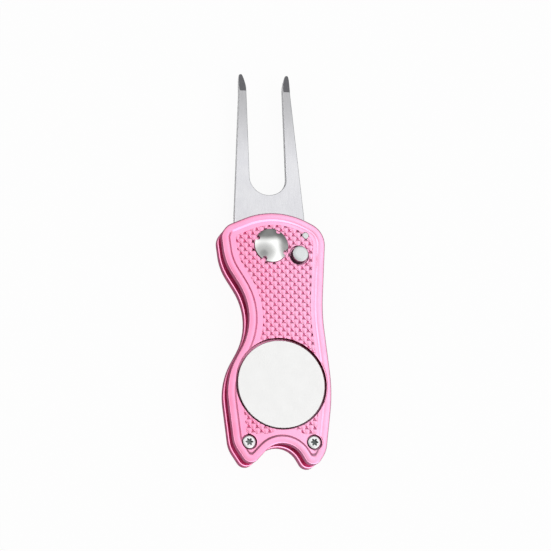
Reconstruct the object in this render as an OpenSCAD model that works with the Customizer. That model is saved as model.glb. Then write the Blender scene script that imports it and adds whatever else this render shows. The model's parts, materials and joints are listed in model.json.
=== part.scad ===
// Folding divot repair tool with a sprung two-prong fork and a lift-off ball marker.
// Origin: on the fork's pivot axis, at the flat back of the handle.
// +Z points out of the front face, +Y along the open fork towards its tips. Millimetres.

/* [Handle] */
// Thickness of each handle scale
scale_t = 3.1; // [3.1:0.1:3.6]
// Space between the two scales, where the fork folds in
gap_t = 3.1; // [3.1:0.1:3.6]
// Width of the raised rim round the face of each scale
rim_w = 2.2; // [1.6:0.1:2.3]
// Depth of the textured field below the rim
field_depth = 0.5; // [0.3:0.1:0.5]
// Thickness of the backspacer strip along the closed edge
spine_w = 2.2; // [1.8:0.1:2.4]

/* [Fork] */
// Thickness of the fork plate
fork_t = 2.2; // [1.8:0.1:2.2]
// Width of the gap between the prongs
prong_gap = 10.9; // [10.4:0.1:11]
// Distance from the pivot axis to the prong tips
fork_reach = 52.2; // [48:0.1:53]
// Length of the ground bevel at each tip
tip_bevel_l = 5.2; // [3:0.2:7]
// Thickness left at the very end of a tip
tip_t = 0.8; // [0.6:0.1:1.4]
// Angle through which the fork folds shut
fold_angle = 184; // [182:1:185]

/* [Pivot] */
// Diameter of the pivot barrel
barrel_d = 5; // [4.6:0.1:5.2]
// Diameter of the domed pivot cap
cap_d = 9.6; // [9:0.1:9.8]
// Height of the dome above its straight edge
dome_h = 1.2; // [0.8:0.1:1.4]

/* [Release button] */
// Diameter of the button
button_d = 4.5; // [4:0.1:4.6]
// Height of the button above the field
button_rise = 1.7; // [1.3:0.1:1.8]
// Travel of the button when pressed
button_stroke = 1.1; // [0.8:0.1:1.1]

/* [Ball marker] */
// Diameter of the ball marker
marker_d = 25; // [24:0.5:25]
// Thickness of the ball marker
marker_t = 1.4; // [1:0.1:1.4]
// Diameter of the magnet under the marker
magnet_d = 8; // [6:0.5:10]

/* [Fasteners] */
// Diameter of the screw heads
screw_head_d = 3.6; // [3.2:0.1:3.8]
// Diameter of the screw shanks
screw_d = 2.2; // [1.8:0.1:2.2]
// Diameter of the stop pin
stop_pin_d = 1.9; // [1.6:0.1:1.9]

/* [Clearances] */
// Radial clearance of the fork on its barrel
running_gap = 0.05; // [0.03:0.01:0.08]
// Radial clearance of the button in the front scale
slide_gap = 0.1; // [0.08:0.01:0.15]
// Radial clearance round pins and screw shanks
pin_gap = 0.02; // [0.02:0.01:0.05]

/* [Hidden] */

$fn = 64;
eps = 0.5;              // how far a cutter passes through a face
arc_step = 6;           // degrees between the points of a rounded corner

// Heights above the flat back
inner_back_z = scale_t;
inner_front_z = scale_t + gap_t;
front_z = 2 * scale_t + gap_t;
field_z = front_z - field_depth;
fork_z = inner_back_z + (gap_t - fork_t) / 2;
fork_top_z = fork_z + fork_t;
washer_t = (gap_t - fork_t) / 2 - running_gap;

// Handle outline, counter-clockwise from the top left: [x, y, corner radius]
HANDLE_CORNERS = [
    [-14.5, 4.75, 4.5],     // top left corner
    [-13.5, -5, 16],        // left shoulder
    [-4.25, -20.5, 18],     // finger waist, hollow
    [-14.5, -38.25, 21],    // left flank beside the marker
    [-12.75, -57, 8],       // above the left lobe
    [-8.5, -63.75, 2.5],    // left lobe
    [2.5, -52.5, 6.5],      // rest notch, hollow
    [9.5, -65, 2.5],        // right lobe
    [13.5, -59, 7.5],       // above the right lobe
    [16, -42, 49],          // right flank beside the marker
    [14, -19.5, 57],        // right waist, hollow
    [16, 4.5, 6.5],         // top right corner
    [1.75, 11.75, 21.5]     // crown over the pivot
];

// Smallest corner radius of the field
field_corner_r = 0.9;

// Ball marker
marker_pos = [1.45, -40];
marker_floor_z = front_z - 2;
marker_seat_pos = marker_pos + [0, 0.2];
marker_seat_r = marker_d / 2 + 0.6;
marker_edge = 0.2;
magnet_t = marker_floor_z - inner_front_z - 0.1;

// Screws, both at the same height in the two lobes
left_screw_pos = [-8.35, -56.4];
right_screw_pos = [10.25, -56.4];
screw_head_t = 0.9;
screw_head_z = field_z - 0.1 - screw_head_t;
screw_end_z = field_depth + 0.2;
head_bore_r = screw_head_d / 2 + 0.3;
star_r = 1;
star_depth = 0.6;
spacer_r = 2.1;

// Pivot: a post from the back, closed by a domed cap at the front
post_flange_r = 3.5;
post_flange_t = 0.8;
barrel_r = barrel_d / 2;
cap_edge_h = 0.35;
cap_r = cap_d / 2;
dome_r = (cap_r * cap_r + dome_h * dome_h) / (2 * dome_h);
cap_stem_r = 1.4;
cap_stem_l = 4;
cap_notch_r = 0.65;
cap_notch_angle = 62;

// Torsion spring round the barrel, in a recess of the back scale
recess_r = 4.6;
recess_z = field_depth + post_flange_t + 0.5;
coil_wire_d = 0.5;
coil_r = 3.7;
coil_turns = 2;
coil_low_z = recess_z + 0.05 + coil_wire_d / 2;
coil_high_z = fork_z - 0.1 - coil_wire_d / 2;
leg_end_r = 6.6;
leg_rise = 1.4;
leg_gap = 0.1;
washer_in_r = recess_r + 0.2;
washer_out_r = 5.7;

// Release button: a cap, a thin neck past the fork and a collar on a spring
button_pos = [8.07, -2.6];
button_r = button_d / 2;
button_top_z = field_z + button_rise;
button_ring_r = button_r + 0.6;
button_ring_depth = 0.9;
neck_r = 1.2;
neck_top_z = inner_front_z + button_stroke + 0.05;
collar_r = 2.6;
collar_t = 0.6;
collar_z = fork_z - 0.25 - collar_t;
collar_pocket_r = collar_r + slide_gap;
collar_pocket_z = field_depth + 0.4;
button_spring_wire_d = 0.3;
button_spring_r = 1.9;
button_spring_turns = 2;

// Stop pin, which the open fork leans on
stop_pin_pos = [10.12, 3.2];
stop_pin_r = stop_pin_d / 2;
stop_pin_z = 1.4;

// Fork outline about its own centre line: half of it, from the gap over the tip to the root
fork_centre_x = 0.63;
half_gap = prong_gap / 2;
gap_bottom_y = 15.8;
fork_root_y = stop_pin_pos[1] + stop_pin_r + 0.12;
FORK_HALF = [
    [10.17, fork_root_y, 0.6],
    [10.17, 9, 30],
    [7.52, fork_reach - 6, 30],
    [7.37, fork_reach, 0.3],
    [6.8, fork_reach, 0.4],
    [half_gap + 0.5, fork_reach - 1.5, 4],
    [half_gap, fork_reach - 3.7, 12],
    [half_gap, gap_bottom_y, half_gap - 0.01]
];
tang_r = norm(button_pos) - neck_r - 0.28;
tang_shoulder_x = stop_pin_pos[0] - stop_pin_r - 0.17;
lock_notch_r = collar_r + 0.15;

// Backspacer along the closed edge of the handle, with a pad for the shut fork
spine_edge_gap = 0.3;
spine_top_y = -7;
spine_low_y = -57.5;
spine_eye_r = 2.3;
rest_pad_y = -11;
rest_pad_w = 3;
rest_pad_x = 10.25;
dowel_pos = [12.9, -12.5];
dowel_r = 0.6;
dowel_depth = 1;

PINK = [0.93, 0.48, 0.66];
STEEL = [0.8, 0.8, 0.82];
SPRING_STEEL = [0.45, 0.46, 0.5];
BRONZE = [0.72, 0.52, 0.3];
MAGNET_GREY = [0.35, 0.35, 0.38];

// ---- Outlines with rounded corners -------------------------------------------------

function unit(v) = v / norm(v);
function xy(p) = [p[0], p[1]];

// Points of the arc that rounds corner p, between its neighbours a and b
function corner_arc(a, p, b) = let(
        u = unit(xy(a) - xy(p)),
        w = unit(xy(b) - xy(p)),
        half = acos(u * w) / 2,
        turn = sign(cross(-u, w)),
        centre = xy(p) + unit(u + w) * p[2] / sin(half),
        start = xy(p) + u * p[2] / tan(half) - centre,
        first = atan2(start[1], start[0]),
        sweep = 180 - 2 * half,
        steps = ceil(sweep / arc_step)
    )
    [for (k = [0 : steps]) let(angle = first + turn * sweep * k / steps)
        centre + p[2] * [cos(angle), sin(angle)]];

function rounded(corners) = let(n = len(corners))
    [for (i = [0 : n - 1])
        each corner_arc(corners[(i + n - 1) % n], corners[i], corners[(i + 1) % n])];

// Corner p of a counter-clockwise outline, moved in by d from both of its edges
function inset_corner(a, p, b, d) = let(
        u = unit(xy(p) - xy(a)),
        w = unit(xy(b) - xy(p)),
        turn = cross(u, w),
        shift = d * (w - u) / turn
    )
    [p[0] + shift[0], p[1] + shift[1], p[2] - d * sign(turn)];

function inset(corners, d) = let(n = len(corners))
    [for (i = [0 : n - 1])
        inset_corner(corners[(i + n - 1) % n], corners[i], corners[(i + 1) % n], d)];

// A half outline and its mirror image, joined into one closed list
function mirrored(half) = concat(
    half,
    [for (i = [len(half) - 1 : -1 : 0]) [-half[i][0], half[i][1], half[i][2]]]
);

// ---- Shared solids -----------------------------------------------------------------

module post(pos, r, z0, z1) {
    translate([pos[0], pos[1], z0])
        cylinder(r = r, h = z1 - z0);
}

module ring(pos, r_in, r_out, z0, z1) {
    difference() {
        post(pos, r_out, z0, z1);
        post(pos, r_in, z0 - eps, z1 + eps);
    }
}

module scale_blank(z0) {
    translate([0, 0, z0])
        linear_extrude(scale_t)
            polygon(rounded(HANDLE_CORNERS));
}

module field_cut(z0) {
    corners = [for (p = inset(HANDLE_CORNERS, rim_w)) [p[0], p[1], max(p[2], field_corner_r)]];
    translate([0, 0, z0])
        linear_extrude(field_depth + eps)
            polygon(rounded(corners));
}

// Round wire wound on a helix about +Z, with closed ends
module coil(r, wire_d, z0, z1, turns) {
    sides = 8;
    rings = ceil(turns * 24);
    path = [for (i = [0 : rings]) let(angle = 360 * turns * i / rings)
        [angle, z0 + (z1 - z0) * i / rings]];
    points = [for (p = path, k = [0 : sides - 1]) let(
            a = 360 * k / sides,
            d = r + wire_d / 2 * cos(a)
        )
        [d * cos(p[0]), d * sin(p[0]), p[1] + wire_d / 2 * sin(a)]];
    skin = [for (i = [0 : rings - 1], k = [0 : sides - 1]) let(
            here = i * sides + k,
            beside = i * sides + (k + 1) % sides
        )
        [beside, beside + sides, here + sides, here]];
    start_cap = [[for (k = [sides - 1 : -1 : 0]) k]];
    end_cap = [[for (k = [0 : sides - 1]) rings * sides + k]];
    polyhedron(points, concat(skin, start_cap, end_cap), convexity = 6);
}

// ---- Handle ------------------------------------------------------------------------

module front_scale() {
    color(PINK)
    difference() {
        scale_blank(inner_front_z);
        field_cut(field_z);
        post(marker_seat_pos, marker_seat_r, marker_floor_z, front_z + eps);
        post(marker_seat_pos, magnet_d / 2 + pin_gap, inner_front_z - eps, front_z);
        post([0, 0], barrel_r + pin_gap, inner_front_z - eps, front_z);
        post(button_pos, button_r + slide_gap, inner_front_z - eps, front_z);
        post(button_pos, button_ring_r, field_z - button_ring_depth, front_z);
        post(stop_pin_pos, stop_pin_r + pin_gap, inner_front_z - eps, front_z);
        post(dowel_pos, dowel_r + pin_gap, inner_front_z - eps, inner_front_z + dowel_depth);
        for (pos = [left_screw_pos, right_screw_pos]) {
            post(pos, screw_d / 2 + pin_gap, inner_front_z - eps, front_z);
            post(pos, head_bore_r, screw_head_z, front_z);
        }
    }
}

module back_scale() {
    color(PINK)
    difference() {
        scale_blank(0);
        field_cut(-eps);
        post([0, 0], barrel_r + pin_gap, -eps, inner_back_z);
        post([0, 0], post_flange_r + pin_gap, -eps, field_depth + post_flange_t);
        post([0, 0], recess_r, recess_z, inner_back_z + eps);
        spring_leg_slot();
        post(button_pos, collar_pocket_r, collar_pocket_z, inner_back_z + eps);
        post(stop_pin_pos, stop_pin_r + pin_gap, stop_pin_z, inner_back_z + eps);
        post(dowel_pos, dowel_r + pin_gap, inner_back_z - dowel_depth, inner_back_z + eps);
        for (pos = [left_screw_pos, right_screw_pos])
            post(pos, screw_d / 2 + pin_gap, -eps, inner_back_z + eps);
    }
}

module spine_outline() {
    difference() {
        polygon(rounded(inset(HANDLE_CORNERS, spine_edge_gap)));
        polygon(rounded(inset(HANDLE_CORNERS, spine_edge_gap + spine_w)));
    }
}

module backspacer() {
    color(PINK)
    translate([0, 0, inner_back_z])
        linear_extrude(gap_t)
            difference() {
                union() {
                    intersection() {
                        spine_outline();
                        translate([8, spine_low_y])
                            square([10, spine_top_y - spine_low_y]);
                    }
                    translate(right_screw_pos)
                        circle(spine_eye_r);
                    translate([rest_pad_x, rest_pad_y - rest_pad_w])
                        square([dowel_pos[0] - rest_pad_x, rest_pad_w]);
                }
                translate(right_screw_pos)
                    circle(screw_d / 2 + pin_gap);
                translate(dowel_pos)
                    circle(dowel_r + pin_gap);
            }
}

module spine_dowel() {
    color(STEEL)
        post(dowel_pos, dowel_r, inner_back_z - dowel_depth, inner_front_z + dowel_depth);
}

module left_spacer() {
    color(STEEL)
        ring(left_screw_pos, screw_d / 2 + pin_gap, spacer_r, inner_back_z, inner_front_z);
}

module handle_screw(pos) {
    color(STEEL)
    difference() {
        union() {
            post(pos, screw_d / 2, screw_end_z, screw_head_z);
            post(pos, screw_head_d / 2, screw_head_z, screw_head_z + screw_head_t);
        }
        translate([pos[0], pos[1], screw_head_z + screw_head_t - star_depth])
            linear_extrude(star_depth + eps)
                polygon([for (k = [0 : 11]) (k % 2 == 0 ? star_r : 0.66 * star_r)
                    * [cos(30 * k), sin(30 * k)]]);
    }
}

module left_screw() {
    handle_screw(left_screw_pos);
}

module right_screw() {
    handle_screw(right_screw_pos);
}

module stop_pin() {
    color(STEEL)
        post(stop_pin_pos, stop_pin_r, stop_pin_z, field_z + 0.2);
}

// ---- Pivot -------------------------------------------------------------------------

module pivot_post() {
    color(STEEL)
    difference() {
        union() {
            post([0, 0], post_flange_r, field_depth, field_depth + post_flange_t);
            post([0, 0], barrel_r, field_depth, field_z);
        }
        post([0, 0], cap_stem_r + pin_gap, field_z - cap_stem_l - 0.3, field_z + eps);
    }
}

module pivot_cap() {
    color(STEEL)
    difference() {
        union() {
            intersection() {
                translate([0, 0, field_z + cap_edge_h + dome_h - dome_r])
                    sphere(r = dome_r);
                post([0, 0], cap_r, field_z, field_z + cap_edge_h + dome_h + eps);
            }
            post([0, 0], cap_stem_r, field_z - cap_stem_l, field_z + cap_edge_h);
        }
        for (k = [0 : 3])
            rotate([0, 0, cap_notch_angle + 90 * k])
                post([cap_r - 0.35, 0], cap_notch_r, field_z - eps, front_z + dome_h);
    }
}

module front_washer() {
    color(BRONZE)
        ring([0, 0], barrel_r + running_gap, washer_out_r, inner_front_z - washer_t, inner_front_z);
}

module back_washer() {
    color(BRONZE)
        ring([0, 0], washer_in_r, washer_out_r, inner_back_z, inner_back_z + washer_t);
}

// Slot of the back scale that holds the spring's lower leg
module spring_leg_slot() {
    width = coil_wire_d + 2 * leg_gap;
    translate([0, -width / 2, recess_z])
        cube([leg_end_r + leg_gap, width, inner_back_z + eps - recess_z]);
}

module torsion_spring() {
    color(SPRING_STEEL)
    union() {
        coil(coil_r, coil_wire_d, coil_low_z, coil_high_z, coil_turns);
        translate([coil_r, 0, coil_low_z])
            rotate([0, 90, 0])
                cylinder(d = coil_wire_d, h = leg_end_r - coil_r);
        post([coil_r, 0], coil_wire_d / 2, coil_high_z, coil_high_z + leg_rise);
    }
}

// ---- Fork --------------------------------------------------------------------------

// Plan of the blade and tang, with both lock notches and the hole for the spring's upper leg
module fork_plan() {
    difference() {
        union() {
            translate([fork_centre_x, 0])
                polygon(rounded(mirrored(FORK_HALF)));
            circle(tang_r);
            translate([0, -1])
                square([tang_shoulder_x, fork_root_y + 2]);
        }
        translate(button_pos)
            circle(lock_notch_r);
        rotate(-fold_angle)
            translate(button_pos)
                circle(lock_notch_r);
        circle(barrel_r + running_gap);
        translate([coil_r, 0])
            circle(coil_wire_d / 2 + leg_gap);
    }
}

// Wedge that grinds one face of both tips, its edge across the fork
module tip_grind() {
    slope = atan((fork_t - tip_t) / 2 / tip_bevel_l);
    translate([-20, fork_reach - tip_bevel_l, 0])
        rotate([-slope, 0, 0])
            cube([40, 2 * tip_bevel_l, fork_t]);
}

module fork() {
    color(STEEL)
    difference() {
        translate([0, 0, fork_z])
            linear_extrude(fork_t)
                fork_plan();
        translate([0, 0, fork_top_z])
            tip_grind();
        translate([0, 0, fork_z])
            mirror([0, 0, 1])
                tip_grind();
    }
}

// ---- Release button ----------------------------------------------------------------

module release_button() {
    color(STEEL)
    union() {
        post(button_pos, button_r, neck_top_z, button_top_z);
        post(button_pos, neck_r, collar_z, neck_top_z + eps);
        post(button_pos, collar_r, collar_z, collar_z + collar_t);
    }
}

module button_spring() {
    low_z = collar_pocket_z + 0.02 + button_spring_wire_d / 2;
    high_z = collar_z - 0.02 - button_spring_wire_d / 2;
    color(SPRING_STEEL)
        translate([button_pos[0], button_pos[1], 0])
            coil(button_spring_r, button_spring_wire_d, low_z, high_z, button_spring_turns);
}

// ---- Ball marker -------------------------------------------------------------------

module ball_marker() {
    r = marker_d / 2;
    color([0.93, 0.93, 0.93])
        translate([marker_pos[0], marker_pos[1], marker_floor_z])
            rotate_extrude($fn = 96)
                polygon([
                    [0, 0], [r - marker_edge, 0], [r, marker_edge],
                    [r, marker_t - marker_edge], [r - marker_edge, marker_t], [0, marker_t]
                ]);
}

module marker_magnet() {
    color(MAGNET_GREY)
        post(marker_seat_pos, magnet_d / 2, marker_floor_z - magnet_t, marker_floor_z);
}

// ---- Output ------------------------------------------------------------------------

front_scale();
back_scale();
backspacer();
spine_dowel();
left_spacer();
left_screw();
right_screw();
stop_pin();
pivot_post();
pivot_cap();
front_washer();
back_washer();
torsion_spring();
fork();
release_button();
button_spring();
ball_marker();
marker_magnet();
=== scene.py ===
"""Looks of the folding divot repair tool: its detailed pieces, finishes, studio and camera.

Meshes are built in millimetres in the CAD frame, and place() turns them into metres.
"""
import json
import math

import bpy
from mathutils import Matrix, Quaternion, Vector


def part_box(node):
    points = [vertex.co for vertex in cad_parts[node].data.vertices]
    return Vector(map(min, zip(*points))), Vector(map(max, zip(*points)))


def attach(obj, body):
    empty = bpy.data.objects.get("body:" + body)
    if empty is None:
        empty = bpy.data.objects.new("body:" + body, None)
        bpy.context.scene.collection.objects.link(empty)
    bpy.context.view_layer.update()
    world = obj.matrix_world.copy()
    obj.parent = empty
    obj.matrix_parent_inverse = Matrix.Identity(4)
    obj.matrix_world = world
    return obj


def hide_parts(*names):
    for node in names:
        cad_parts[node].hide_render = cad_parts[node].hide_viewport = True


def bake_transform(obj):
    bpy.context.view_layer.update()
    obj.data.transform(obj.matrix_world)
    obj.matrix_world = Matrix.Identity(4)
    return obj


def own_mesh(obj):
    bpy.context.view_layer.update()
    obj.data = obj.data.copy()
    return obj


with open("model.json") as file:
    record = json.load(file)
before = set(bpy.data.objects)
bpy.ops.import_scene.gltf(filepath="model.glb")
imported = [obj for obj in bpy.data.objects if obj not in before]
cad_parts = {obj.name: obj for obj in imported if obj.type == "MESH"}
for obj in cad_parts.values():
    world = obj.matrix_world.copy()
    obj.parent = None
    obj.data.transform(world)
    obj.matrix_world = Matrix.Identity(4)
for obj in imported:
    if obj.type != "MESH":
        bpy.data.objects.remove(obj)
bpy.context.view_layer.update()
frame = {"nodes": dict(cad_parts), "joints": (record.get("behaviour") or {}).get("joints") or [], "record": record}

MM = 0.001

# ---- Sizes, in millimetres -----------------------------------------------------------

# Handle outline, counter-clockwise from the top left: (x, y, corner radius)
HANDLE_CORNERS = [
    (-14.5, 4.75, 4.5), (-13.5, -5, 16), (-4.25, -20.5, 18), (-14.5, -38.25, 21),
    (-12.75, -57, 8), (-8.5, -63.75, 2.5), (2.5, -52.5, 6.5), (9.5, -65, 2.5),
    (13.5, -59, 7.5), (16, -42, 49), (14, -19.5, 57), (16, 4.5, 6.5), (1.75, 11.75, 21.5),
]


def node_box(node):
    """Lowest and highest corner of a CAD node, in millimetres."""
    low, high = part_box(node)
    return low / MM, high / MM


def node_centre(node):
    """Centre of a CAD node's box in plan, in millimetres."""
    low, high = node_box(node)
    return (low.x + high.x) / 2, (low.y + high.y) / 2


def node_radius(node):
    """Half the width of a round CAD node, in millimetres."""
    low, high = node_box(node)
    return (high.x - low.x) / 2


FRONT_LOW, FRONT_HIGH = node_box("front_scale")
INNER_FRONT_Z, FRONT_Z = FRONT_LOW.z, FRONT_HIGH.z
INNER_BACK_Z = node_box("back_scale")[1].z
# The field is sunk below each face, inside a raised rim
FIELD_DEPTH = 0.5
FIELD_Z = FRONT_Z - FIELD_DEPTH
RIM_W = 2.2
# No corner of an outline is sharper than this
SMALLEST_R = 0.05

MARKER_POS = node_centre("ball_marker")
MARKER_LOW, MARKER_HIGH = node_box("ball_marker")
MARKER_R = node_radius("ball_marker")
MARKER_SEAT_POS = node_centre("marker_magnet")
MARKER_SEAT_R = MARKER_R + 0.6
MAGNET_R = node_radius("marker_magnet")
PIVOT_POS = (0, 0)
CAP_R = 4.8
BUTTON_POS = node_centre("release_button")
STOP_PIN_POS = node_centre("stop_pin")
STOP_PIN_R = node_radius("stop_pin")
SCREW_POS = {name: node_centre(name) for name in ("left_screw", "right_screw")}
DOWEL_POS = node_centre("spine_dowel")
FORK_LOW, FORK_HIGH = node_box("fork")

# How far a snug hole clears its pin, the groove round the pivot's cap, and the scales' hole radii
SNUG = 0.02
CAP_GROOVE = 0.2
BARREL_HOLE_R = 2.52
FLANGE_HOLE_R = 3.52
BUTTON_HOLE_R = 2.35
BUTTON_RING_R = 2.85
COLLAR_HOLE_R = 2.7
DOWEL_HOLE_R = 0.62
SCREW_HOLE_R = 1.12
SCREW_SEAT_R = 2.2
SPRING_RECESS_R = 4.6
# Slot for the torsion spring's fixed leg, and the hole in the fork for its other leg
LEG_CLEARANCE = 0.35
LEG_SLOT_END = 6.7
FORK_LEG_POS = (3.7, 0)
# Floor of the spring's recess and slot in the back scale
SPRING_RECESS_Z = 1.8

# ---- Outlines ------------------------------------------------------------------------


def corner_arc(before, corner, after, steps):
    """Points of the arc that rounds a corner, between its two neighbours."""
    p = Vector(corner[:2])
    u = (Vector(before[:2]) - p).normalized()
    w = (Vector(after[:2]) - p).normalized()
    half = math.acos(max(-1.0, min(1.0, u.dot(w)))) / 2
    radius = corner[2]
    centre = p + (u + w).normalized() * radius / math.sin(half)
    start = p + u * radius / math.tan(half) - centre
    turn = 1 if (-u.x * w.y + u.y * w.x) > 0 else -1
    sweep = turn * (math.pi - 2 * half)
    first = math.atan2(start.y, start.x)
    angles = [first + sweep * k / steps for k in range(steps + 1)]
    return [(centre.x + radius * math.cos(a), centre.y + radius * math.sin(a)) for a in angles]


def rounded(corners, steps=12):
    """Closed outline with every corner rounded by the same number of points."""
    count = len(corners)
    arcs = [corner_arc(corners[i - 1], corners[i], corners[(i + 1) % count], steps)
            for i in range(count)]
    return [point for arc in arcs for point in arc]


def inset(corners, depth, smallest=SMALLEST_R):
    """Corners of a counter-clockwise outline moved in by depth, with no radius under smallest."""
    moved = []
    count = len(corners)
    for i, (x, y, radius) in enumerate(corners):
        before, after = corners[i - 1], corners[(i + 1) % count]
        u = (Vector((x, y)) - Vector(before[:2])).normalized()
        w = (Vector(after[:2]) - Vector((x, y))).normalized()
        turn = u.x * w.y - u.y * w.x
        shift = depth * (w - u) / turn
        moved.append((x + shift.x, y + shift.y, max(smallest, radius - math.copysign(depth, turn))))
    return moved


def circle(centre, radius, steps=64):
    """Counter-clockwise circle."""
    angles = [2 * math.pi * k / steps for k in range(steps)]
    return [(centre[0] + radius * math.cos(a), centre[1] + radius * math.sin(a)) for a in angles]


# ---- Solids, in millimetres ----------------------------------------------------------

# How far a cutter runs past the face that it opens
OVERRUN = 1


def new_object(name, data):
    """New object in the scene."""
    thing = bpy.data.objects.new(name, data)
    bpy.context.scene.collection.objects.link(thing)
    return thing


def solid(name, points, faces):
    """New mesh object from points and faces."""
    mesh = bpy.data.meshes.new(name)
    mesh.from_pydata(points, [], faces)
    return new_object(name, mesh)


def loft(name, rings):
    """Closed solid through rings of the same number of points, each counter-clockwise, going up."""
    count = len(rings[0])
    points = [point for ring in rings for point in ring]
    faces = [list(range(count - 1, -1, -1))]
    for level in range(len(rings) - 1):
        low, high = level * count, (level + 1) * count
        faces += [(low + k, low + (k + 1) % count, high + (k + 1) % count, high + k)
                  for k in range(count)]
    faces.append([(len(rings) - 1) * count + k for k in range(count)])
    return solid(name, points, faces)


def prism(name, outline, low, high):
    """Straight solid of an outline between two heights."""
    return loft(name, [[(x, y, z) for x, y in outline] for z in (low, high)])


def shaped_prism(name, corners, levels):
    """Solid of a cornered outline through (inset, height) levels, going up."""
    return loft(name, [[(x, y, z) for x, y in rounded(inset(corners, depth))]
                       for depth, z in levels])


def turned(name, centre, levels, steps=64):
    """Round solid about +Z through (radius, height) levels, going up."""
    return loft(name, [[(x, y, z) for x, y in circle(centre, radius, steps)]
                       for radius, z in levels])


def box_solid(name, low, high):
    """Box between two corners, for cutting and joining."""
    outline = [(low[0], low[1]), (high[0], low[1]), (high[0], high[1]), (low[0], high[1])]
    return prism(name, outline, low[2], high[2])


def combine(piece, operation, *tools):
    """Joins, cuts or intersects a solid with others, which it uses up."""
    for tool in tools:
        step = piece.modifiers.new("step", "BOOLEAN")
        step.operation = operation
        step.solver = "MANIFOLD"
        step.object = tool
        depsgraph = bpy.context.evaluated_depsgraph_get()
        result = bpy.data.meshes.new_from_object(piece.evaluated_get(depsgraph))
        piece.modifiers.clear()
        piece.data = result
        bpy.data.objects.remove(tool)
    return piece


def join(piece, *tools):
    """Piece with the tools added."""
    return combine(piece, "UNION", *tools)


def cut(piece, *tools):
    """Piece with the tools taken away."""
    return combine(piece, "DIFFERENCE", *tools)


def overlap(piece, *tools):
    """What the piece and all the tools share."""
    return combine(piece, "INTERSECT", *tools)


def drill(name, centre, radius, low, high, flare=0.0):
    """Cutter for a hole whose mouth at the top opens by flare at 45 degrees."""
    if not flare:
        return turned(name, centre, [(radius, low), (radius, high)])
    return turned(name, centre, [(radius, low), (radius, high - flare),
                                 (radius + flare, high), (radius + flare, high + 3 * OVERRUN)])


# ---- Materials -----------------------------------------------------------------------


class Finish:
    """One procedural material, in the piece's own coordinates."""

    def __init__(self, name, **sockets):
        self.material = bpy.data.materials.new(name)
        self.material.use_nodes = True
        self.nodes = self.material.node_tree.nodes
        self.links = self.material.node_tree.links
        self.shader = self.nodes["Principled BSDF"]
        for socket, value in sockets.items():
            self.shader.inputs[socket.replace("_", " ")].default_value = value
        self.coordinates = self.nodes.new("ShaderNodeTexCoord").outputs["Object"]

    def noise(self, size, detail=3.0, stretch=(1, 1, 1)):
        """Noise whose features are about size millimetres across, longer along a stretched axis."""
        mapping = self.nodes.new("ShaderNodeMapping")
        mapping.inputs["Scale"].default_value = [1 / (size * MM * s) for s in stretch]
        self.links.new(self.coordinates, mapping.inputs["Vector"])
        texture = self.nodes.new("ShaderNodeTexNoise")
        texture.inputs["Scale"].default_value = 1
        texture.inputs["Detail"].default_value = detail
        self.links.new(mapping.outputs["Vector"], texture.inputs["Vector"])
        return texture.outputs["Fac"]

    def along(self, axis, start, end):
        """0 at start and 1 at end, in millimetres along an axis."""
        parts = self.nodes.new("ShaderNodeSeparateXYZ")
        self.links.new(self.coordinates, parts.inputs["Vector"])
        return self.ramp(parts.outputs[axis], (start * MM, end * MM), (0, 1))

    def ramp(self, source, between, to):
        """Source rescaled smoothly from one range to another."""
        step = self.nodes.new("ShaderNodeMapRange")
        step.interpolation_type = "SMOOTHSTEP"
        for socket, value in zip(("From Min", "From Max", "To Min", "To Max"), (*between, *to)):
            step.inputs[socket].default_value = value
        self.links.new(source, step.inputs["Value"])
        return step.outputs["Result"]

    def blend(self, factor, first, second, mode="MIX"):
        """Colour between two; each input is a value, a colour or another node's output."""
        mix = self.nodes.new("ShaderNodeMix")
        mix.data_type = "RGBA"
        mix.blend_type = mode
        sockets = mix.inputs["Factor"], mix.inputs[6], mix.inputs[7]
        for socket, value in zip(sockets, (factor, first, second)):
            if isinstance(value, bpy.types.NodeSocket):
                self.links.new(value, socket)
            else:
                socket.default_value = (*value, 1) if isinstance(value, tuple) else value
        return mix.outputs[2]

    def mottled(self, source, first, second, between=(0.3, 0.7)):
        """First colour where the source is under a range, and second where it is over."""
        return self.blend(self.ramp(source, between, (0, 1)), first, second)

    def painted_recess_shade(self, colour, reach, darkest):
        """Colour darkened where walls stand within reach millimetres: painted shade in hollows, gaps and corners.
        """
        shelter = self.nodes.new("ShaderNodeAmbientOcclusion")
        shelter.samples = 8
        shelter.inputs["Distance"].default_value = reach * MM
        dark = self.mottled(shelter.outputs["AO"], (darkest,) * 3, (1, 1, 1), (0.12, 0.62))
        return self.blend(1, colour, dark, "MULTIPLY")

    def colour(self, source):
        self.links.new(source, self.shader.inputs["Base Color"])

    def roughness(self, source, low, high):
        self.links.new(self.ramp(source, (0.3, 0.7), (low, high)), self.shader.inputs["Roughness"])

    def bump(self, *layers):
        """Stacks bumps, each (source, height in millimetres, strength)."""
        normal = None
        for source, height, strength in layers:
            step = self.nodes.new("ShaderNodeBump")
            step.inputs["Strength"].default_value = strength
            step.inputs["Distance"].default_value = height * MM
            self.links.new(source, step.inputs["Height"])
            if normal is not None:
                self.links.new(normal, step.inputs["Normal"])
            normal = step.outputs["Normal"]
        self.links.new(normal, self.shader.inputs["Normal"])


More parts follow.
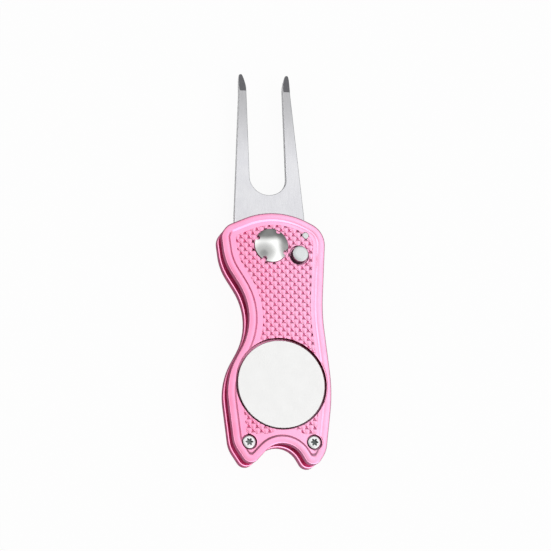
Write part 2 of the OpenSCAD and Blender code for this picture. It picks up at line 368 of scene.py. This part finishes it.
def anodised_pink(name):
    """Bead-blasted aluminium dyed pink, with painted light making it paler to the right, painted shade in its
    hollows, clouding and a fine grain.
    """
    finish = Finish(name, Metallic=1.0, Specular_Tint=(1.0, 0.62, 0.78, 1))
    cloud = finish.noise(4, detail=4)
    grain = finish.noise(0.12, detail=2)
    streak = finish.noise(0.5, detail=3, stretch=(1, 6, 1))
    deep = finish.mottled(cloud, (1.0, 0.33, 0.54), (1.0, 0.37, 0.58), (0.35, 0.65))
    pale = finish.mottled(streak, (1.0, 0.46, 0.68), (1.0, 0.5, 0.72), (0.4, 0.75))
    # Painted light: the pink turns paler from left to right, as if lit more from the right
    pink = finish.blend(finish.along("X", -16, 18), deep, pale)
    # Painted shade, nearly black, in the grooves, the bores and the gap between the scales
    finish.colour(finish.painted_recess_shade(pink, 1.3, 0.06))
    finish.roughness(cloud, 0.30, 0.36)
    finish.bump((grain, 0.012, 0.25), (streak, 0.01, 0.15))
    return finish.material


def painted_shade_pink(name, tint, dark, light, low, high):
    """The same pink, deeper and duller: painted shade for faces that light hardly reaches."""
    finish = Finish(name, Metallic=1.0, Specular_Tint=(*tint, 1))
    cloud = finish.noise(2, detail=4)
    grain = finish.noise(0.12, detail=2)
    finish.colour(finish.mottled(cloud, dark, light))
    finish.roughness(cloud, low, high)
    finish.bump((grain, 0.012, 0.25))
    return finish.material


def fork_steel(name):
    """Blanked stainless plate, brushed along its length, its prongs darker towards the ground tips as painted
    shade.
    """
    finish = Finish(name, Metallic=1.0)
    brushed = finish.noise(0.06, detail=3, stretch=(1, 60, 1))
    cloud = finish.noise(6, detail=4)
    steel = finish.mottled(cloud, (0.575, 0.575, 0.6), (0.605, 0.605, 0.625), (0.35, 0.65))
    # Painted shade: the steel darkens along the prongs towards the tips, where the light falls off
    finish.colour(finish.blend(finish.along("Y", 24, 47), steel, (0.38, 0.38, 0.39)))
    finish.roughness(brushed, 0.26, 0.36)
    finish.bump((brushed, 0.006, 0.3))
    return finish.material


def marked_steel(name, size, stretch, dark, light, low, high):
    """Steel left rough by a tool, with marks longer along the stretched axis."""
    finish = Finish(name, Metallic=1.0)
    marks = finish.noise(size, detail=3, stretch=stretch)
    finish.colour(finish.mottled(marks, dark, light))
    finish.roughness(marks, low, high)
    finish.bump((marks, 0.008, 0.3))
    return finish.material


def polished_steel(name):
    """Mirror polish with faint wipe marks."""
    finish = Finish(name, Metallic=1.0)
    wipe = finish.noise(0.8, detail=5)
    finish.colour(finish.blend(wipe, (0.62, 0.63, 0.62), (0.70, 0.70, 0.69)))
    finish.roughness(wipe, 0.07, 0.13)
    finish.bump((wipe, 0.004, 0.1))
    return finish.material


def satin_steel(name, light, dark, low, high, darkest=0.45):
    """Machined steel with a fine even grain, and painted shade in its hollows down to darkest."""
    finish = Finish(name, Metallic=1.0)
    grain = finish.noise(0.1, detail=3)
    cloud = finish.noise(3, detail=3)
    finish.colour(finish.painted_recess_shade(finish.mottled(cloud, dark, light), 0.5, darkest))
    finish.roughness(cloud, low, high)
    finish.bump((grain, 0.008, 0.25))
    return finish.material


# Every finish: (name, how it is made, its values)
MATERIALS = {name: make(name, *values) for name, make, *values in (
    ("anodised_pink", anodised_pink),
    # Painted shade on the walls of the bores, and on the faces between the scales
    ("shaded_pink", painted_shade_pink, (0.35, 0.08, 0.16), (0.16, 0.02, 0.05), (0.24, 0.035, 0.08), 0.35, 0.45),
    ("inner_shaded_pink", painted_shade_pink, (0.9, 0.3, 0.5), (0.62, 0.06, 0.2), (0.72, 0.085, 0.26), 0.4, 0.5),
    ("fork_steel", fork_steel),
    ("polished_steel", polished_steel),
    # The tips, marked across each prong by the wheel, and the plate's cut edge, marked by the shear
    ("ground_steel", marked_steel, 0.05, (30, 1, 1), (0.13, 0.13, 0.14), (0.18, 0.18, 0.19), 0.32, 0.45),
    ("sheared_steel", marked_steel, 0.08, (1, 1, 12), (0.82, 0.82, 0.84), (0.95, 0.95, 0.96), 0.55, 0.7),
    # A last value, where given, is how dark the painted shade in the piece's hollows goes; otherwise 0.45
    ("marker_steel", satin_steel, (0.82, 0.82, 0.815), (0.79, 0.79, 0.785), 0.42, 0.5, 0.8),
    ("screw_steel", satin_steel, (0.78, 0.78, 0.78), (0.66, 0.66, 0.67), 0.25, 0.35, 0.06),
    ("pin_steel", satin_steel, (0.62, 0.65, 0.65), (0.52, 0.54, 0.54), 0.28, 0.38),
    # The button's side wall: painted shade with a painted reflection of the pink
    ("button_side_shade", satin_steel, (0.2, 0.14, 0.16), (0.12, 0.08, 0.1), 0.25, 0.4),
    # The screw's socket: painted shade, a dark copy of the screw's steel
    ("socket", satin_steel, (0.2, 0.22, 0.22), (0.09, 0.1, 0.1), 0.35, 0.5),
    ("spring_steel", satin_steel, (0.42, 0.42, 0.44), (0.3, 0.3, 0.32), 0.25, 0.4),
    ("washer_bronze", satin_steel, (0.75, 0.5, 0.24), (0.6, 0.38, 0.17), 0.3, 0.45),
    ("magnet", satin_steel, (0.5, 0.5, 0.52), (0.38, 0.38, 0.4), 0.3, 0.42),
)}


def dress(piece, slot):
    """Gives a whole piece one material."""
    piece.data.materials.clear()
    piece.data.materials.append(MATERIALS[slot])


def place(piece, node, slot, sharp=30):
    """Turns a finished solid into metres, dresses it and puts it in a CAD node's place."""
    piece.data.transform(Matrix.Scale(MM, 4))
    piece.data.shade_smooth()
    piece.data.set_sharp_from_angle(angle=math.radians(sharp))
    weighted = piece.modifiers.new("flat_faces_stay_flat", "WEIGHTED_NORMAL")
    weighted.keep_sharp = True
    weighted.weight = 100
    dress(piece, slot)
    piece.name = node + "_visual"
    body = next(b for b, nodes in frame["record"]["behaviour"]["bodies"].items() if node in nodes)
    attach(piece, body)
    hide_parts(node)


def paint(piece, name, chosen):
    """Gives the chosen faces of a placed piece another material."""
    piece.data.materials.append(MATERIALS[name])
    last = len(piece.data.materials) - 1
    for face in piece.data.polygons:
        if chosen(face):
            face.material_index = last


# ---- Handle scales -------------------------------------------------------------------

# Rim section from the outer wall to the field: (inset, drop below the face)
RIM_SECTION = [
    (0.0, 0.42), (0.04, 0.27), (0.12, 0.17), (0.26, 0.105), (0.5, 0.06), (0.85, 0.02), (1.2, 0.0),
    (1.6, 0.015), (1.82, 0.05), (1.96, 0.12), (2.1, 0.24), (2.24, 0.37), (2.38, 0.46), (2.56, FIELD_DEPTH),
]
FRONT_INNER_BEVEL, BACK_INNER_BEVEL = 0.8, 0.22
FIELD_CORNER_R = 0.9
# The texture keeps off the rim, more so at the left; its studs end a skin below the field's face
KNURL_MARGIN = 1.2
KNURL_LEFT_MARGIN = 0.6
KNURL_DEPTH = 0.5
KNURL_SKIN = 0.02
# The texture stops short of the screws and of the club rest between them
KNURL_END_Y = -54.2
REST_CLEAR_POS, REST_CLEAR_R = (2.5, -60), 7.5
# Half the width and half the height of one diamond stud, their phase and their slight turn
STUD_HALF = (1.18, 1.21)
KNURL_PHASE = (-0.33, 0.04)
KNURL_TURN = math.radians(-0.86)
# Two studs meet at this share of their height halfway along a side, and at the floor at a corner
STUD_SADDLE = 0.72
# Outline of a stud's top from its right side round its blunt head to its narrow foot, in shares
STUD_TOP = [
    (0.63, -0.1), (0.63, 0.3), (0.36, 0.6), (-0.4, 0.55),
    (-0.65, 0.3), (-0.65, -0.1), (-0.1, -0.86), (0.1, -0.86),
]
# Sections of one stud: (share of its top's size, share of its height)
STUD_SECTION = [(1.03, 0.8), (0.98, 0.85), (0.4, 0.98)]
# Each stud leans: it stands at its full height at this x, in half widths, and loses this share
# of its height for each half width to the left of it
STUD_CREST_X = 0.6
STUD_LEAN = 0.12


def scale_shell(name, mirror):
    """One scale: a bevel inside, a rounded outer edge, a crowned rim and a sunk field."""
    bevel = BACK_INNER_BEVEL if mirror else FRONT_INNER_BEVEL
    inner = [(bevel, INNER_FRONT_Z), (0, INNER_FRONT_Z + bevel)]
    face = [(depth, FRONT_Z - drop) for depth, drop in RIM_SECTION]
    levels = inner + face
    if mirror:
        levels = [(depth, FRONT_Z - z) for depth, z in reversed(levels)]
    rings = []
    for depth, z in levels:
        corners = inset(HANDLE_CORNERS, depth, FIELD_CORNER_R if depth > RIM_W / 2 else SMALLEST_R)
        rings.append([(x, y, z) for x, y in rounded(corners)])
    return loft(name, rings)


def stud_ring(centre, share, floor, height):
    """Points round a stud, counter-clockwise, from below its right corner."""
    return [(centre[0] + x * share * STUD_HALF[0], centre[1] + y * share * STUD_HALF[1],
             floor + height * (1 - STUD_LEAN * (STUD_CREST_X - x * share)))
            for x, y in STUD_TOP]


def knurl_studs(floor, top):
    """One closed sheet of diamond studs in staggered rows, with its underside below the floor."""
    points, faces, index, edges = [], [], {}, {}
    saddle = floor + (top - floor) * STUD_SADDLE
    low = floor - OVERRUN
    count = len(STUD_TOP)

    def at(i, j):
        """Position at (i, j), counted in halves of a stud's half width and height."""
        return i / 2 * STUD_HALF[0] + KNURL_PHASE[0], j / 2 * STUD_HALF[1] + KNURL_PHASE[1]

    def spot(i, j, z):
        """Shared point at (i, j)."""
        if (i, j, z) not in index:
            index[i, j, z] = len(points)
            points.append((*at(i, j), z))
        return index[i, j, z]

    columns, rows = (range(math.floor(low_side / half) - 2, math.ceil(high_side / half) + 3)
                     for low_side, high_side, half in zip(FRONT_LOW, FRONT_HIGH, STUD_HALF))
    for i, j in ((2 * i, 2 * j) for i in columns for j in rows if (i + j) % 2 == 0):
        around = [(i + 2, j), (i, j + 2), (i - 2, j), (i, j - 2)]
        middles = [(i + 1, j + 1), (i - 1, j + 1), (i - 1, j - 1), (i + 1, j - 1)]
        base = [spot(*corner, floor) for corner in around]
        halfway = [spot(*middle, saddle) for middle in middles]
        under = [spot(*corner, low) for corner in around]
        faces.append(under[::-1])
        rings = []
        for share, rise in STUD_SECTION:
            rings.append(range(len(points), len(points) + count))
            points += stud_ring(at(i, j), share, floor, (top - floor) * rise)
        first = rings[0]
        for k in range(4):
            after = (k + 1) % 4
            start, end = first[2 * k + 1], first[2 * after]
            faces += [(base[k], start, first[2 * k]), (base[k], halfway[k], start),
                      (halfway[k], end, start), (halfway[k], base[after], end)]
            edges[around[k], around[after]] = (base[after], halfway[k], base[k], under[k], under[after])
        for outer, inner in zip(rings, rings[1:]):
            faces += [(outer[k], outer[(k + 1) % count], inner[(k + 1) % count], inner[k])
                      for k in range(count)]
        faces.append(list(rings[-1]))
    faces += [side for (start, end), side in edges.items() if (end, start) not in edges]
    studs = solid("studs", points, faces)
    studs.data.transform(Matrix.Rotation(KNURL_TURN, 4, "Z"))
    return studs


def knurl_cutter():
    """What is cut from the field to leave the studs, kept clear of the rim and of the screws."""
    floor, top = FIELD_Z - KNURL_DEPTH, FIELD_Z - KNURL_SKIN
    under, over = floor - OVERRUN, FRONT_Z + 2 * OVERRUN
    outline = rounded(inset(HANDLE_CORNERS, RIM_W + KNURL_MARGIN))
    moved = [(x + KNURL_LEFT_MARGIN, y) for x, y in outline]
    region = overlap(
        prism("region", outline, floor - KNURL_SKIN, FRONT_Z + OVERRUN),
        prism("moved", moved, under, over),
        box_solid("above_screws", (-30, KNURL_END_Y, under), (30, 30, over)),
    )
    rest = prism("rest", circle(REST_CLEAR_POS, REST_CLEAR_R), under, over)
    return cut(region, knurl_studs(floor, top), rest)


# Everything bored into the scales: (centre, radius just past its wall)
BORES = [
    (MARKER_SEAT_POS, MARKER_SEAT_R + 0.02), (PIVOT_POS, 5.2), (BUTTON_POS, 2.9), (STOP_PIN_POS, 1.05),
    (SCREW_POS["left_screw"], 2.25), (SCREW_POS["right_screw"], 2.25), (DOWEL_POS, 0.7),
]


def faces_inwards(face):
    """Whether a finished face of a scale is on its inner side."""
    between = INNER_BACK_Z - 0.01 < face.center.z / MM < INNER_FRONT_Z + 0.01
    return between and abs(face.normal.z) > 0.9


def in_a_bore(face):
    """Whether a finished face of a scale is on the wall of one of its bores."""
    spot = face.center / MM
    if not FIELD_DEPTH + KNURL_DEPTH + 0.1 < spot.z < FIELD_Z - 0.1 or abs(face.normal.z) > 0.9:
        return False
    return any(math.hypot(spot.x - x, spot.y - y) < radius for (x, y), radius in BORES)


def place_scale(scale, node):
    """Puts a finished scale in its place, with painted shade on its inner faces and in its bores."""
    place(scale, node, "anodised_pink")
    paint(scale, "inner_shaded_pink", faces_inwards)
    paint(scale, "shaded_pink", in_a_bore)


def front_scale():
    """Front half of the handle with all its seats and holes."""
    scale = scale_shell("front", False)
    cut(scale, knurl_cutter())
    mouth = 0.12
    below = INNER_FRONT_Z - OVERRUN
    cut(
        scale,
        drill("seat", MARKER_SEAT_POS, MARKER_SEAT_R, MARKER_LOW.z, FIELD_Z, mouth),
        drill("magnet", MARKER_SEAT_POS, MAGNET_R + SNUG, below, MARKER_LOW.z, 0.1),
        drill("pivot", PIVOT_POS, BARREL_HOLE_R, below, FIELD_Z),
        drill("cap_ring", PIVOT_POS, CAP_R + CAP_GROOVE, FIELD_Z - 0.35, FIELD_Z, 0.05),
        drill("button", BUTTON_POS, BUTTON_HOLE_R, below, FIELD_Z),
        drill("button_ring", BUTTON_POS, BUTTON_RING_R, FIELD_Z - 0.9, FIELD_Z, mouth),
        drill("pin", STOP_PIN_POS, STOP_PIN_R + SNUG, below, FIELD_Z, 0.06),
        drill("dowel", DOWEL_POS, DOWEL_HOLE_R, below, INNER_FRONT_Z + 1),
    )
    for name, pos in SCREW_POS.items():
        cut(
            scale,
            drill(name + "_hole", pos, SCREW_HOLE_R, below, FIELD_Z),
            drill(name + "_head", pos, SCREW_SEAT_R, FIELD_Z - 1, FIELD_Z, mouth),
        )
    place_scale(scale, "front_scale")


def upturned(piece):
    """Turns a cutter made for the front face over, so that it cuts the back face."""
    piece.data.transform(Matrix.Translation((0, 0, FRONT_Z)) @ Matrix.Diagonal((1, 1, -1, 1)))
    piece.data.flip_normals()
    return piece


def back_scale():
    """Back half of the handle."""
    scale = scale_shell("back", True)
    cut(scale, upturned(knurl_cutter()))
    below, above = -OVERRUN, INNER_BACK_Z + OVERRUN
    mouth_floor = FRONT_Z - 1.3
    cut(
        scale,
        drill("barrel", PIVOT_POS, BARREL_HOLE_R, below, above),
        upturned(drill("flange", PIVOT_POS, FLANGE_HOLE_R, mouth_floor, FIELD_Z, 0.1)),
        drill("recess", PIVOT_POS, SPRING_RECESS_R, SPRING_RECESS_Z, above),
        box_solid("leg_slot", (0, -LEG_CLEARANCE, SPRING_RECESS_Z), (LEG_SLOT_END, LEG_CLEARANCE, above)),
        drill("collar", BUTTON_POS, COLLAR_HOLE_R, 0.9, above),
        drill("pin", STOP_PIN_POS, STOP_PIN_R + SNUG, 1.4, above),
        drill("dowel", DOWEL_POS, DOWEL_HOLE_R, INNER_BACK_Z - 1, above),
    )
    for name, pos in SCREW_POS.items():
        cut(
            scale,
            drill(name + "_hole", pos, SCREW_HOLE_R, below, above),
            upturned(drill(name + "_mouth", pos, SCREW_HOLE_R, mouth_floor, FIELD_Z, 0.2)),
        )
    place_scale(scale, "back_scale")


# ---- Fork ----------------------------------------------------------------------------

FORK_CENTRE_X = 0.63
FORK_EDGE = 0.14
FORK_REACH = FORK_HIGH.y
HALF_GAP = 5.45
FORK_ROOT_Y = 4.27
# Right half of the fork from its root round the tip to the gap: (x, y, corner radius)
FORK_HALF = [
    (10.17, FORK_ROOT_Y, 0.6), (10.17, 9, 30), (7.52, FORK_REACH - 6, 30), (7.44, FORK_REACH - 1.4, 2.5),
    (7.24, FORK_REACH, 0.45), (6.45, FORK_REACH, 0.45), (HALF_GAP + 0.5, FORK_REACH - 1.5, 4),
    (HALF_GAP, FORK_REACH - 3.7, 12), (HALF_GAP, 15.8, HALF_GAP - 0.01),
]
FOLD_ANGLE = frame["joints"][0]["range_deg"][1]
FORK_HOLE_R = 2.55
# The button's neck passes the tang, and its collar stands in one of the tang's two notches
BUTTON_NECK_R = 1.2
NECK_CLEARANCE = 0.28
LOCK_NOTCH_R = 2.75
SHOULDER_CLEARANCE = 0.17
# Length of the ground tips, and their thickness at the end
TIP_BEVEL = 5.2
TIP_T = 0.8


def fork_corners():
    """Whole outline of the fork, counter-clockwise."""
    other = [(-x, y, r) for x, y, r in reversed(FORK_HALF)]
    return [(x + FORK_CENTRE_X, y, r) for x, y, r in FORK_HALF + other]


def tip_grind(side):
    """Wedge that grinds one face of both tips; side is 1 for the front face."""
    slope = (FORK_HIGH.z - FORK_LOW.z - TIP_T) / 2 / TIP_BEVEL
    start, end = FORK_REACH - TIP_BEVEL, FORK_REACH + 5
    drop = slope * (end - start)
    face = FORK_HIGH.z if side > 0 else FORK_LOW.z
    low, high = sorted((face, face + side * 3))
    wedge = box_solid("wedge", (-20, start, low), (20, end, high))
    for point in wedge.data.vertices:
        if point.co.y > start + 1 and abs(point.co.z - face) < 0.1:
            point.co.z -= side * drop
    return wedge


def fork():
    """Fork plate with broken edges, ground tips, lock notches and pivot hole."""
    low, high = FORK_LOW.z, FORK_HIGH.z
    levels = [(FORK_EDGE, low), (0, low + FORK_EDGE), (0, high - FORK_EDGE), (FORK_EDGE, high)]
    plate = shaped_prism("fork", fork_corners(), levels)
    tang_r = math.hypot(*BUTTON_POS) - BUTTON_NECK_R - NECK_CLEARANCE
    shoulder_x = STOP_PIN_POS[0] - STOP_PIN_R - SHOULDER_CLEARANCE
    join(
        plate,
        turned("tang", PIVOT_POS, [(tang_r, low), (tang_r, high)]),
        box_solid("shoulder", (0, -1, low), (shoulder_x, FORK_ROOT_Y + 1, high)),
    )
    below, above = low - OVERRUN, high + OVERRUN
    notch = Vector((*BUTTON_POS, 0))
    shut = notch.copy()
    shut.rotate(Matrix.Rotation(-math.radians(FOLD_ANGLE), 3, "Z"))
    cut(
        plate,
        drill("notch", notch[:2], LOCK_NOTCH_R, below, above),
        drill("shut_notch", shut[:2], LOCK_NOTCH_R, below, above),
        drill("barrel", PIVOT_POS, FORK_HOLE_R, below, above),
        drill("spring_hole", FORK_LEG_POS, LEG_CLEARANCE, below, above),
        tip_grind(1),
        tip_grind(-1),
    )
    place(plate, "fork", "fork_steel", sharp=4)
    paint(plate, "sheared_steel", lambda face: abs(face.normal.z) < 0.3)
    grind_start = (FORK_REACH - TIP_BEVEL) * MM
    paint(plate, "ground_steel",
          lambda face: 0.9 < abs(face.normal.z) < 0.999 and face.center.y > grind_start)


# ---- Pivot, button, pin, marker and screws -------------------------------------------

DOME_H = 1.2
CAP_EDGE = 0.35
CAP_STEM_R = 1.4
NOTCH_R = 0.65
NOTCH_INSET = 0.35
NOTCH_ANGLE = 62
BUTTON_R = 2.25
COLLAR_R = 2.6
SCREW_HEAD_H = 0.9
SOCKET_R = 1.12
SOCKET_DEPTH = 0.6


def pivot_cap():
    """Domed head with a small radius at its foot, four notches and a stem."""
    dome_r = (CAP_R ** 2 + DOME_H ** 2) / (2 * DOME_H)
    top = FIELD_Z + CAP_EDGE + DOME_H
    slope_end = math.asin(CAP_R / dome_r)
    steps = 14
    levels = [
        (CAP_STEM_R, FIELD_Z - 4), (CAP_STEM_R, FIELD_Z), (CAP_R - 0.08, FIELD_Z), (CAP_R, FIELD_Z + 0.08),
    ]
    for k in range(steps + 1):
        angle = slope_end * (1 - k / (steps + 0.3))
        levels.append((dome_r * math.sin(angle), top - dome_r * (1 - math.cos(angle))))
    cap = turned("cap", PIVOT_POS, levels, steps=96)
    for k in range(4):
        angle = math.radians(NOTCH_ANGLE + 90 * k)
        centre = [(CAP_R - NOTCH_INSET) * along for along in (math.cos(angle), math.sin(angle))]
        cut(cap, drill("cap_notch", centre, NOTCH_R, FIELD_Z - OVERRUN, top + OVERRUN))
    place(cap, "pivot_cap", "polished_steel")


def release_button():
    """Turned button with a broken edge, its neck past the fork, and its collar."""
    low, high = node_box("release_button")
    edge = 0.16
    neck_top = INNER_FRONT_Z + 1.15
    levels = [
        (COLLAR_R - 0.1, low.z), (COLLAR_R, low.z + 0.1), (COLLAR_R, low.z + 0.5),
        (COLLAR_R - 0.1, low.z + 0.6), (BUTTON_NECK_R, low.z + 0.6), (BUTTON_NECK_R, neck_top),
        (BUTTON_R - 0.1, neck_top), (BUTTON_R, neck_top + 0.1), (BUTTON_R, high.z - edge),
        (BUTTON_R - 0.05, high.z - 0.06), (BUTTON_R - edge, high.z - 0.015), (BUTTON_NECK_R, high.z),
    ]
    button = turned("button", BUTTON_POS, levels)
    place(button, "release_button", "pin_steel")
    # Painted shade and a painted pink reflection on the button's side wall
    paint(button, "button_side_shade", lambda face: abs(face.normal.z) < 0.3)


def stop_pin():
    """Ground pin with a rounded end."""
    low, high = node_box("stop_pin")
    r = STOP_PIN_R
    levels = [
        (r - 0.12, low.z), (r, low.z + 0.12), (r, high.z - 0.14),
        (r - 0.06, high.z - 0.05), (r - 0.16, high.z - 0.01), (r - 0.35, high.z),
    ]
    place(turned("pin", STOP_PIN_POS, levels, steps=40), "stop_pin", "pin_steel")


def ball_marker():
    """Coined disc with a rounded edge."""
    low, high = MARKER_LOW.z, MARKER_HIGH.z
    r = MARKER_R
    levels = [
        (r - 0.25, low), (r - 0.08, low + 0.07), (r, low + 0.25),
        (r, high - 0.25), (r - 0.03, high - 0.13), (r - 0.11, high - 0.04), (r - 0.25, high),
    ]
    place(turned("marker", MARKER_POS, levels, steps=160), "ball_marker", "marker_steel")


def star(centre, radius, low, high):
    """Six-lobe socket cutter."""
    points = []
    count = 72
    for k in range(count):
        angle = 2 * math.pi * k / count
        r = radius * (0.8 + 0.2 * math.cos(6 * angle))
        points.append((centre[0] + r * math.cos(angle), centre[1] + r * math.sin(angle)))
    return prism("star", points, low, high)


def handle_screw(node):
    """Screw with a shallow pan head and a six-lobe socket."""
    low, high = node_box(node)
    pos = SCREW_POS[node]
    head = high.z - SCREW_HEAD_H
    levels = [
        (0.9, low.z), (1.1, low.z + 0.2), (1.1, head), (1.72, head), (1.8, head + 0.1),
        (1.8, high.z - 0.3), (1.74, high.z - 0.13), (1.58, high.z - 0.03), (1.35, high.z),
    ]
    screw = turned("screw", pos, levels, steps=48)
    cut(screw, star(pos, SOCKET_R, high.z - SOCKET_DEPTH, high.z + OVERRUN))
    place(screw, node, "screw_steel")
    # Painted shade inside the socket
    paint(screw, "socket", lambda face: in_socket(face, pos, high.z))


def in_socket(face, pos, top):
    """Whether a finished face belongs to the socket's walls or floor."""
    spot = face.center / MM
    from_axis = math.hypot(spot.x - pos[0], spot.y - pos[1])
    return from_axis < SOCKET_R + 0.02 and top - SOCKET_DEPTH - 0.1 < spot.z < top - 0.05


# ---- Hidden pieces -------------------------------------------------------------------


def spring_copy(node):
    """Copy of a CAD spring that can change shape, in its place."""
    original = frame["nodes"][node]
    spring = new_object(node + "_visual", original.data.copy())
    spring.data.transform(original.matrix_world)
    dress(spring, "spring_steel")
    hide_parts(node)
    return spring


def button_spring():
    """Compression spring that shortens from its seat as the button goes down."""
    spring = spring_copy("button_spring")
    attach(spring, "handle")
    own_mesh(spring)


def torsion_spring():
    """Torsion spring that winds up between its leg in the handle and its leg in the fork."""
    spring = spring_copy("torsion_spring")
    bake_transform(spring)


def dress_cad_nodes():
    """Gives the carried-over CAD pieces their own finish."""
    slots = {
        "backspacer": "anodised_pink",
        "spine_dowel": "pin_steel",
        "left_spacer": "pin_steel",
        "pivot_post": "pin_steel",
        "front_washer": "washer_bronze",
        "back_washer": "washer_bronze",
        "marker_magnet": "magnet",
    }
    for node, slot in slots.items():
        piece = frame["nodes"][node]
        dress(piece, slot)


# ---- Studio --------------------------------------------------------------------------

# Where the camera stands: turns in degrees, aim and distance in metres, focal length in millimetres
CAMERA_AZIMUTH, CAMERA_ELEVATION, CAMERA_ROLL = (math.radians(a) for a in (-43.26, 69.85, 42.82))
CAMERA_DISTANCE = 0.7077
CAMERA_AIM = Vector((0.93, -8.71, 8.7)) * MM
CAMERA_LENS = 163.97
CAMERA_SENSOR = 36


def add_camera():
    """Camera above the handle, a little to its left and below."""
    data = bpy.data.cameras.new("camera")
    data.sensor_width = CAMERA_SENSOR
    data.lens = CAMERA_LENS
    camera = new_object("camera", data)
    level = math.cos(CAMERA_ELEVATION)
    back = Vector((math.sin(CAMERA_AZIMUTH) * level, -math.cos(CAMERA_AZIMUTH) * level,
                   math.sin(CAMERA_ELEVATION)))
    camera.location = CAMERA_AIM + back * CAMERA_DISTANCE
    camera.rotation_mode = "QUATERNION"
    roll = Quaternion((0, 0, 1), CAMERA_ROLL)
    camera.rotation_quaternion = (-back).to_track_quat("-Z", "Y") @ roll
    bpy.context.scene.camera = camera


# Cards round the white studio: (direction, full within degrees, gone beyond degrees, light left)
STUDIO_CARDS = [
    ((0.0, 1.0, 0.15), 36, 60, 0.2),
    ((1.0, 0.15, 0.2), 22, 53, 0.3),
    ((-0.5, 0.85, 0.05), 18, 42, 0.3),
    ((0.7, 0.7, 0.2), 12, 34, 0.6),
    ((-0.24, -0.25, 0.94), 3, 52, 0.42),
    ((-0.24, -0.25, 0.94), 3, 17, 0.65),
    ((0.3, -0.85, 0.35), 10, 60, 1.3),
]
STUDIO_LEVEL = 1.75


def add_studio():
    """White studio with grey cards beyond the tips and at the right, and a dimmer side by the camera."""
    world = bpy.data.worlds.new("studio")
    bpy.context.scene.world = world
    world.use_nodes = True
    nodes, links = world.node_tree.nodes, world.node_tree.links
    background = nodes["Background"]
    direction = nodes.new("ShaderNodeTexCoord").outputs["Generated"]
    light = None
    for towards, within, beyond, shade in STUDIO_CARDS:
        dot = nodes.new("ShaderNodeVectorMath")
        dot.operation = "DOT_PRODUCT"
        dot.inputs[1].default_value = Vector(towards).normalized()
        links.new(direction, dot.inputs[0])
        card = nodes.new("ShaderNodeMapRange")
        card.interpolation_type = "SMOOTHSTEP"
        edge, core = (math.cos(math.radians(angle)) for angle in (beyond, within))
        for socket, value in zip(("From Min", "From Max", "To Min", "To Max"), (edge, core, 1, shade)):
            card.inputs[socket].default_value = value
        links.new(dot.outputs["Value"], card.inputs["Value"])
        product = nodes.new("ShaderNodeMath")
        product.operation = "MULTIPLY"
        links.new(card.outputs["Result"], product.inputs[0])
        if light is None:
            product.inputs[1].default_value = STUDIO_LEVEL
        else:
            links.new(light, product.inputs[1])
        light = product.outputs["Value"]
    seen = nodes.new("ShaderNodeLightPath").outputs["Is Camera Ray"]
    strength = nodes.new("ShaderNodeMix")
    links.new(seen, strength.inputs["Factor"])
    links.new(light, strength.inputs["A"])
    strength.inputs["B"].default_value = 1
    links.new(strength.outputs["Result"], background.inputs["Strength"])
    background.inputs["Color"].default_value = (1, 1, 1, 1)


# The floor's half size in metres, its grey, and the glow that keeps it white to the camera
FLOOR_HALF = 3.0
FLOOR_GREY = 0.3
GLOW_STRENGTH = 1.1
GLOW_SHARE = 0.85


def add_floor():
    """Plain pale floor under the handle's flat back."""
    corners = [(x * FLOOR_HALF, y * FLOOR_HALF, 0) for x, y in ((-1, -1), (1, -1), (1, 1), (-1, 1))]
    floor = solid("floor", corners, [(0, 1, 2, 3)])
    material = bpy.data.materials.new("floor")
    material.use_nodes = True
    nodes, links = material.node_tree.nodes, material.node_tree.links
    paper = nodes["Principled BSDF"]
    paper.inputs["Base Color"].default_value = (FLOOR_GREY, FLOOR_GREY, FLOOR_GREY, 1)
    paper.inputs["Roughness"].default_value = 0.9
    paper.inputs["Specular IOR Level"].default_value = 0.1
    glow = nodes.new("ShaderNodeEmission")
    glow.inputs["Strength"].default_value = GLOW_STRENGTH
    share = nodes.new("ShaderNodeMath")
    share.operation = "MULTIPLY"
    share.inputs[1].default_value = GLOW_SHARE
    links.new(nodes.new("ShaderNodeLightPath").outputs["Is Camera Ray"], share.inputs[0])
    lit = nodes.new("ShaderNodeMixShader")
    links.new(share.outputs["Value"], lit.inputs["Fac"])
    links.new(paper.outputs["BSDF"], lit.inputs[1])
    links.new(glow.outputs["Emission"], lit.inputs[2])
    links.new(lit.outputs["Shader"], nodes["Material Output"].inputs["Surface"])
    floor.data.materials.append(material)


front_scale()
back_scale()
fork()
pivot_cap()
release_button()
stop_pin()
ball_marker()
for screw in SCREW_POS:
    handle_screw(screw)
button_spring()
torsion_spring()
dress_cad_nodes()
add_camera()
add_studio()
add_floor()
bpy.context.scene.view_settings.view_transform = "Standard"
